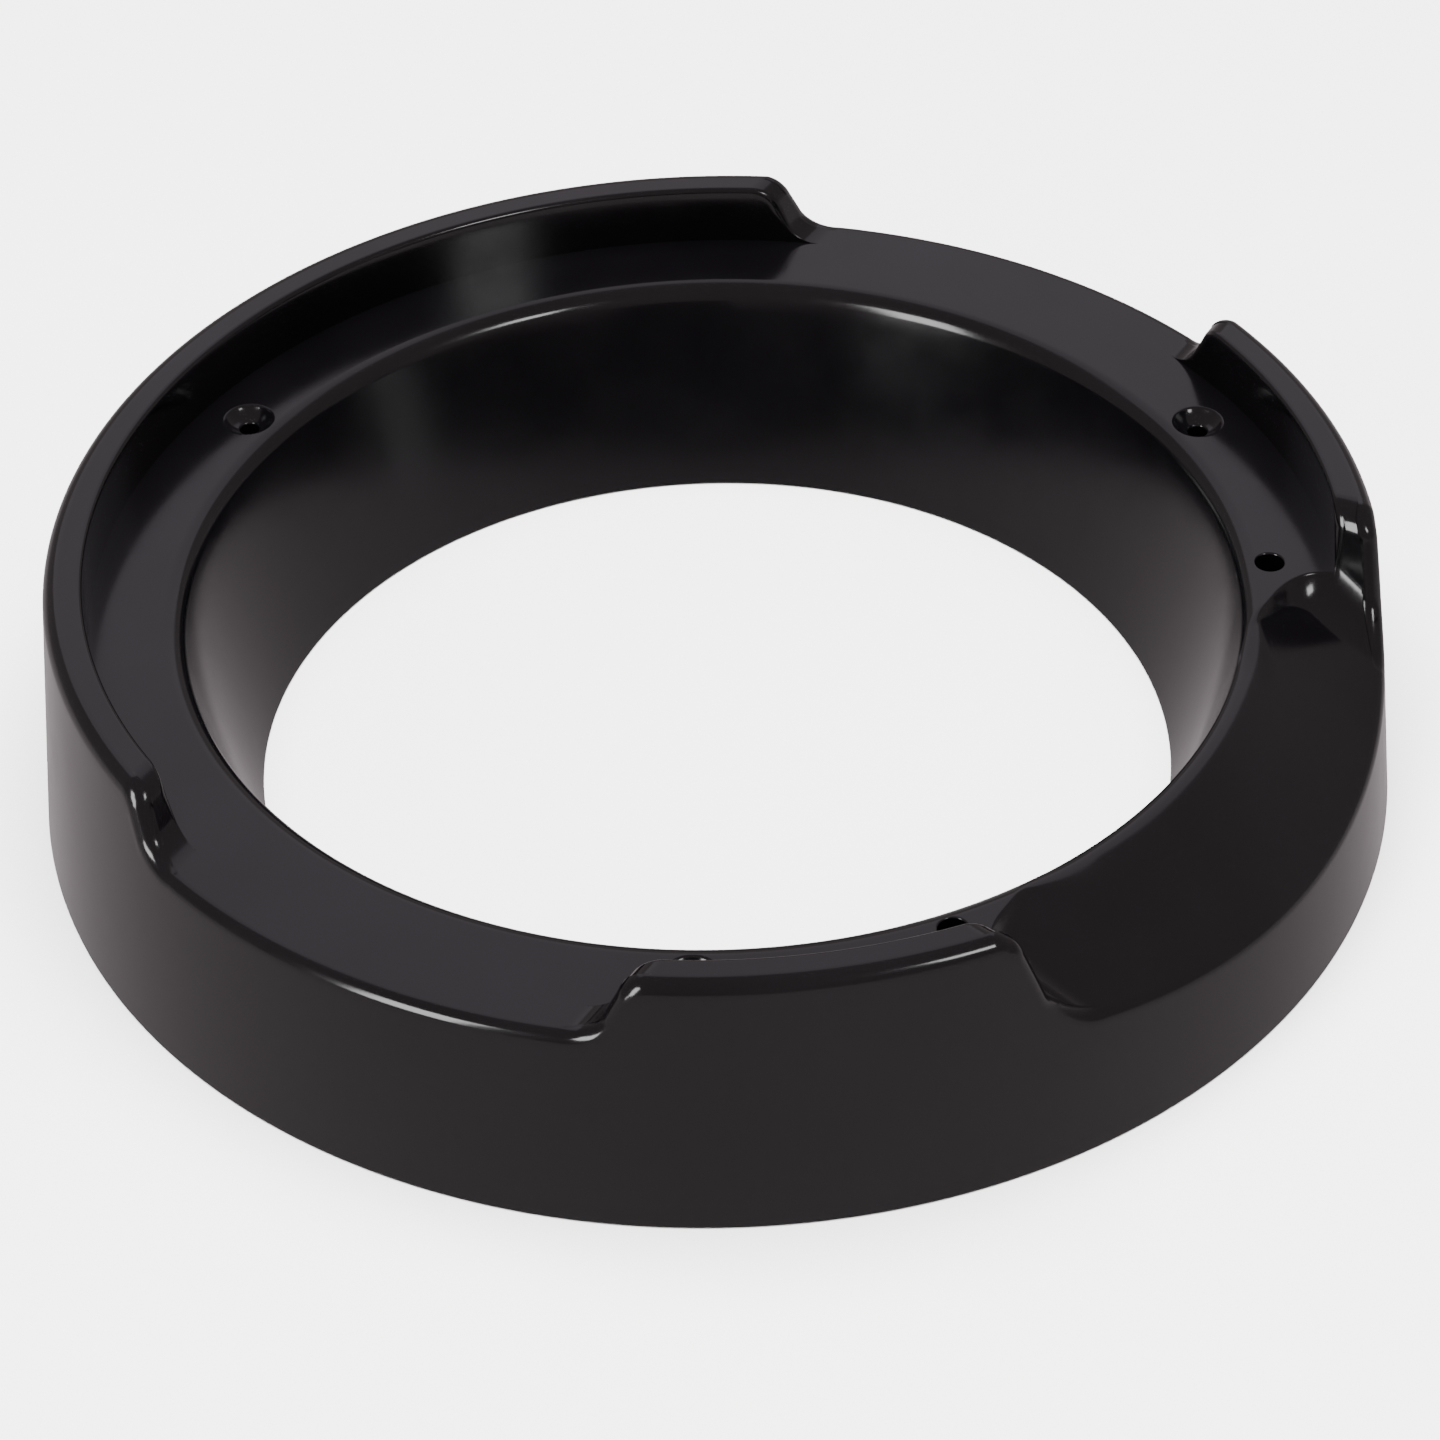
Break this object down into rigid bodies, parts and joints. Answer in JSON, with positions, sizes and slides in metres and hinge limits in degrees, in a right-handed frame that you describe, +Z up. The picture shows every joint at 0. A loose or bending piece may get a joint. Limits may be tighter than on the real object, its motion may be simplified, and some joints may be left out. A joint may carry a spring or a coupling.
{
  "type": "toilet flange collar",
  "caption": "Round black moulded toilet flange collar with a wide conical throat, flat deck, raised locating lips, a front scoop and dished screw holes.",
  "frame": {"origin": "centre of the base plane, on the axis of the ring", "axes": "+Z up, out of the deck; the scoop faces -Y; the two side gaps between the lips are on the X axis"},
  "size_m": [0.3048, 0.3048, 0.0622],
  "materials": {
    "black_plastic": "glossy injection-moulded black, faintly scratched",
    "gasket_rubber": "soft closed-cell rubber",
    "insert_brass": "turned brass"
  },
  "bodies": {
    "root": {"flange_body": "black_plastic", "base_gasket": "gasket_rubber", "bolt_inserts": "insert_brass"}
  },
  "joints": []
}
